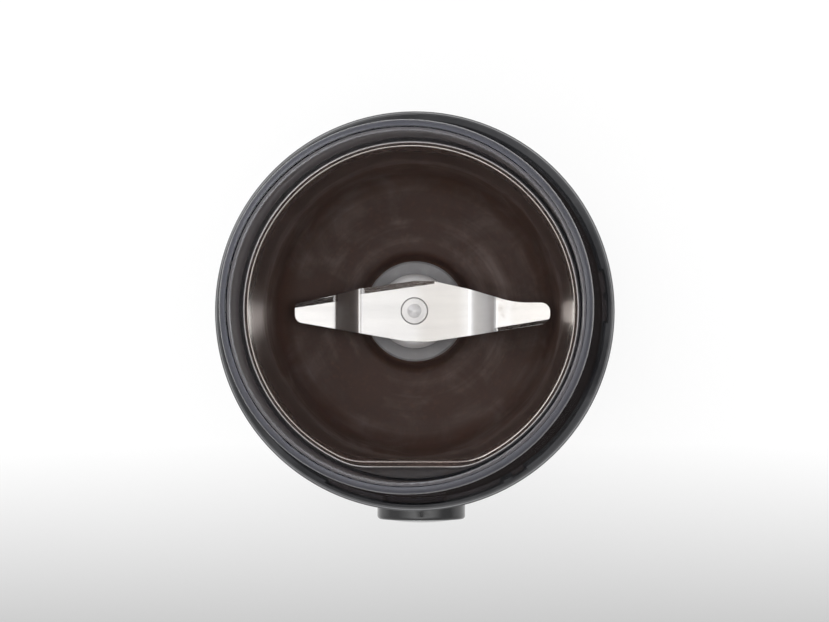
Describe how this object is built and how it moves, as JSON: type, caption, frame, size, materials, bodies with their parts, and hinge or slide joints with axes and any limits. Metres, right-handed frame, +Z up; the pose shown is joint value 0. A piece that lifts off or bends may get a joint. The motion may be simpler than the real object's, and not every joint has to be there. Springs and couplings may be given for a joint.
{
  "type": "electric spice grinder",
  "caption": "Upright electric spice grinder: round motor housing with a front push button, a D-rimmed steel bowl, a flat wing blade and a deep clear lid that lifts off.",
  "frame": {"origin": "centre of the resting plane, on the motor's axis", "axes": "+Z up along the shaft, towards the lid; -Y towards the front, where the button is; +X to the user's right"},
  "size_m": [0.089, 0.0961, 0.178],
  "materials": {
    "housing_black": "black moulded plastic, satin to gloss",
    "collar_black": "black moulded plastic, fine texture",
    "lid_clear": "clear polycarbonate with a faint blue-grey tint",
    "bowl_steel": "drawn stainless steel, fine turned grain",
    "blade_steel": "stamped stainless steel, long grain",
    "hub_metal": "bright turned aluminium",
    "seal_silicone": "grey silicone",
    "gasket_rubber": "black rubber",
    "foot_rubber": "black non-slip rubber",
    "shaft_steel": "ground steel",
    "screw_steel": "zinc-plated steel",
    "stack_steel": "stacked electrical steel sheets",
    "copper_wire": "enamelled copper wire",
    "commutator_copper": "turned copper bars",
    "fan_plastic": "natural nylon",
    "bracket_steel": "die-cast zinc alloy",
    "bush_bronze": "sintered bronze",
    "carbon": "pressed carbon",
    "holder_brass": "folded brass",
    "spring_steel": "spring wire",
    "chassis_plastic": "glass-filled nylon",
    "button_black": "black gloss plastic",
    "button_bright": "pale silver plastic",
    "switch_case": "moulded phenolic",
    "switch_pin": "red nylon",
    "capacitor_case": "yellow film capacitor case",
    "mount_rubber": "soft black rubber",
    "inner_plastic": "black nylon"
  },
  "bodies": {
    "grinder": {"foot_ring": "foot_rubber", "base_cover": "inner_plastic", "cover_screws": "screw_steel", "housing": "housing_black", "cord_bushing": "mount_rubber", "cord_clamp": "inner_plastic", "clamp_screws": "screw_steel", "collar": "collar_black", "collar_screws": "screw_steel", "grinding_bowl": "bowl_steel", "bowl_gasket": "gasket_rubber", "bowl_neck": "collar_black", "shaft_seal": "seal_silicone", "stator_core": "stack_steel", "field_coils": "copper_wire", "upper_bracket": "bracket_steel", "lower_bracket": "bracket_steel", "upper_bearing": "bush_bronze", "lower_bearing": "bush_bronze", "carbon_brushes": "carbon", "brush_holders": "holder_brass", "brush_springs": "spring_steel", "motor_screws": "screw_steel", "rubber_mounts": "mount_rubber", "chassis": "chassis_plastic", "button_spring": "spring_steel", "power_switch": "switch_case", "lid_switch": "switch_case", "interlock_spring": "spring_steel", "suppression_capacitor": "capacitor_case"},
    "rotor": {"shaft": "shaft_steel", "blade": "blade_steel", "blade_hub": "hub_metal", "armature_core": "stack_steel", "armature_winding": "copper_wire", "commutator": "commutator_copper", "cooling_fan": "fan_plastic", "thrust_washers": "bush_bronze"},
    "lid": {"lid": "lid_clear"},
    "button": {"button_cap": "button_black", "button_face": "button_bright"},
    "power_pin": {"power_switch_plunger": "switch_pin"},
    "interlock": {"interlock_plunger": "inner_plastic"},
    "lid_pin": {"lid_switch_plunger": "switch_pin"}
  },
  "joints": [
    {"name": "lid_lift", "type": "slide", "parent": "grinder", "child": "lid", "axis": [0, 0, 1], "range_m": [0, 0.09], "deforming": ["interlock_spring"]},
    {"name": "rotor_spin", "type": "hinge", "parent": "grinder", "child": "rotor", "pos_m": [0, 0, 0.06], "axis": [0, 0, 1], "continuous": true},
    {"name": "button_press", "type": "slide", "parent": "grinder", "child": "button", "axis": [0, 1, 0], "range_m": [0, 0.0025], "stiffness_N_per_m": 800, "springref_m": -0.002, "deforming": ["button_spring"]},
    {"name": "power_pin_slide", "type": "slide", "parent": "grinder", "child": "power_pin", "axis": [0, 1, 0], "range_m": [0, 0.0025]},
    {"name": "interlock_rise", "type": "slide", "parent": "grinder", "child": "interlock", "axis": [0, 0, 1], "range_m": [0, 0.003]},
    {"name": "lid_pin_rise", "type": "slide", "parent": "grinder", "child": "lid_pin", "axis": [0, 0, 1], "range_m": [0, 0.0015]}
  ],
  "couplings": [
    {"joint": "power_pin_slide", "follows": "button_press", "ratio": 1},
    {"joint": "interlock_rise", "follows": "lid_lift", "ratio": 0.0333},
    {"joint": "lid_pin_rise", "follows": "lid_lift", "ratio": 0.0166}
  ]
}
